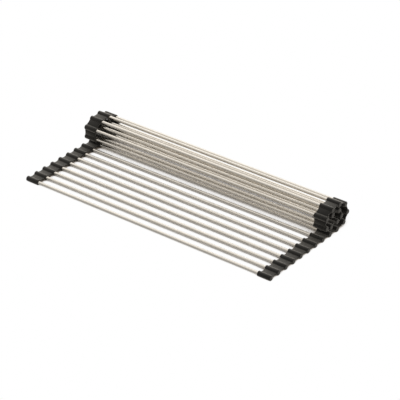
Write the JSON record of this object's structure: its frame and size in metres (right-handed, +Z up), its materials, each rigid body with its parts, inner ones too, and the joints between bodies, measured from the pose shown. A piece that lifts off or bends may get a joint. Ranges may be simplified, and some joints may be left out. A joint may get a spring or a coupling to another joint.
{
  "type": "roll up dish drying rack",
  "caption": "Over-sink drying rack of steel tubes between two flexible silicone strips, its back half rolled up and its front lying flat.",
  "frame": {"origin": "on the surface the rack rests on, under the middle of its bounding box as it lies half rolled up", "axes": "+X along the tubes to the right, +Y from the flat front edge towards the roll, +Z up"},
  "size_m": [0.45, 0.1958, 0.048],
  "materials": {
    "stainless_steel": "polished stainless tube",
    "silicone": "matt moulded silicone, dark grey"
  },
  "bodies": {
    "base": {"left_strip": "silicone", "right_strip": "silicone", "tube_06": "stainless_steel", "tube_07": "stainless_steel", "tube_08": "stainless_steel", "tube_09": "stainless_steel", "tube_10": "stainless_steel"},
    "link_01": {"left_link_01": "silicone", "right_link_01": "silicone", "tube_01": "stainless_steel"},
    "link_02": {"left_link_02": "silicone", "right_link_02": "silicone", "tube_02": "stainless_steel"},
    "link_03": {"left_link_03": "silicone", "right_link_03": "silicone", "tube_03": "stainless_steel"},
    "link_04": {"left_link_04": "silicone", "right_link_04": "silicone", "tube_04": "stainless_steel"},
    "link_05": {"left_link_05": "silicone", "right_link_05": "silicone", "tube_05": "stainless_steel"},
    "link_11": {"left_link_11": "silicone", "right_link_11": "silicone", "tube_11": "stainless_steel"},
    "link_12": {"left_link_12": "silicone", "right_link_12": "silicone", "tube_12": "stainless_steel"},
    "link_13": {"left_link_13": "silicone", "right_link_13": "silicone", "tube_13": "stainless_steel"},
    "link_14": {"left_link_14": "silicone", "right_link_14": "silicone", "tube_14": "stainless_steel"},
    "link_15": {"left_link_15": "silicone", "right_link_15": "silicone", "tube_15": "stainless_steel"},
    "link_16": {"left_link_16": "silicone", "right_link_16": "silicone", "tube_16": "stainless_steel"},
    "link_17": {"left_link_17": "silicone", "right_link_17": "silicone", "tube_17": "stainless_steel"},
    "link_18": {"left_link_18": "silicone", "right_link_18": "silicone", "tube_18": "stainless_steel"},
    "link_19": {"left_link_19": "silicone", "right_link_19": "silicone", "tube_19": "stainless_steel"},
    "link_20": {"left_link_20": "silicone", "right_link_20": "silicone", "tube_20": "stainless_steel"},
    "link_21": {"left_link_21": "silicone", "right_link_21": "silicone", "tube_21": "stainless_steel"},
    "link_22": {"left_link_22": "silicone", "right_link_22": "silicone", "tube_22": "stainless_steel"}
  },
  "joints": [
    {"name": "front_curl", "type": "hinge", "parent": "base", "child": "link_05", "pos_m": [0, -0.01276, 0.0041], "axis": [-1, 0, 0], "range_deg": [0, 50]},
    {"name": "hinge_04", "type": "hinge", "parent": "link_05", "child": "link_04", "pos_m": [0, -0.03076, 0.0041], "axis": [-1, 0, 0], "range_deg": [0, 50]},
    {"name": "hinge_03", "type": "hinge", "parent": "link_04", "child": "link_03", "pos_m": [0, -0.04875, 0.0041], "axis": [-1, 0, 0], "range_deg": [0, 50]},
    {"name": "hinge_02", "type": "hinge", "parent": "link_03", "child": "link_02", "pos_m": [0, -0.06675, 0.0041], "axis": [-1, 0, 0], "range_deg": [0, 50]},
    {"name": "hinge_01", "type": "hinge", "parent": "link_02", "child": "link_01", "pos_m": [0, -0.08475, 0.0041], "axis": [-1, 0, 0], "range_deg": [0, 50]},
    {"name": "unroll", "type": "hinge", "parent": "base", "child": "link_11", "pos_m": [0, 0.07724, 0.0041], "axis": [-1, 0, 0], "range_deg": [0, 27]},
    {"name": "hinge_12", "type": "hinge", "parent": "link_11", "child": "link_12", "pos_m": [0, 0.09328, 0.01227], "axis": [-1, 0, 0], "range_deg": [0, 60]},
    {"name": "hinge_13", "type": "hinge", "parent": "link_12", "child": "link_13", "pos_m": [0, 0.09423, 0.03025], "axis": [-1, 0, 0], "range_deg": [0, 47]},
    {"name": "hinge_14", "type": "hinge", "parent": "link_13", "child": "link_14", "pos_m": [0, 0.08172, 0.0432], "axis": [-1, 0, 0], "range_deg": [0, 42]},
    {"name": "hinge_15", "type": "hinge", "parent": "link_14", "child": "link_15", "pos_m": [0, 0.06377, 0.04445], "axis": [-1, 0, 0], "range_deg": [0, 15]},
    {"name": "hinge_16", "type": "hinge", "parent": "link_15", "child": "link_16", "pos_m": [0, 0.0461, 0.04102], "axis": [-1, 0, 0], "range_deg": [0, 48]},
    {"name": "hinge_17", "type": "hinge", "parent": "link_16", "child": "link_17", "pos_m": [0, 0.03683, 0.02559], "axis": [-1, 0, 0], "range_deg": [0, 61]},
    {"name": "hinge_18", "type": "hinge", "parent": "link_17", "child": "link_18", "pos_m": [0, 0.04583, 0.01], "axis": [-1, 0, 0], "range_deg": [0, 99]},
    {"name": "hinge_19", "type": "hinge", "parent": "link_18", "child": "link_19", "pos_m": [0, 0.05981, 0.02133], "axis": [-1, 0, 0], "range_deg": [-65, 0]},
    {"name": "hinge_20", "type": "hinge", "parent": "link_19", "child": "link_20", "pos_m": [0, 0.07599, 0.01344], "axis": [-1, 0, 0], "range_deg": [0, 103]},
    {"name": "hinge_21", "type": "hinge", "parent": "link_20", "child": "link_21", "pos_m": [0, 0.08004, 0.03097], "axis": [-1, 0, 0], "range_deg": [0, 82]},
    {"name": "hinge_22", "type": "hinge", "parent": "link_21", "child": "link_22", "pos_m": [0, 0.06324, 0.03743], "axis": [-1, 0, 0], "range_deg": [0, 46]}
  ],
  "couplings": [
    {"joint": "hinge_04", "follows": "front_curl", "ratio": 1},
    {"joint": "hinge_03", "follows": "front_curl", "ratio": 1},
    {"joint": "hinge_02", "follows": "front_curl", "ratio": 1},
    {"joint": "hinge_01", "follows": "front_curl", "ratio": 1},
    {"joint": "hinge_12", "follows": "unroll", "ratio": 2.2222},
    {"joint": "hinge_13", "follows": "unroll", "ratio": 1.7407},
    {"joint": "hinge_14", "follows": "unroll", "ratio": 1.5556},
    {"joint": "hinge_15", "follows": "unroll", "ratio": 0.55556},
    {"joint": "hinge_16", "follows": "unroll", "ratio": 1.7778},
    {"joint": "hinge_17", "follows": "unroll", "ratio": 2.2593},
    {"joint": "hinge_18", "follows": "unroll", "ratio": 3.6667},
    {"joint": "hinge_19", "follows": "unroll", "ratio": -2.4074},
    {"joint": "hinge_20", "follows": "unroll", "ratio": 3.8148},
    {"joint": "hinge_21", "follows": "unroll", "ratio": 3.037},
    {"joint": "hinge_22", "follows": "unroll", "ratio": 1.7037}
  ]
}
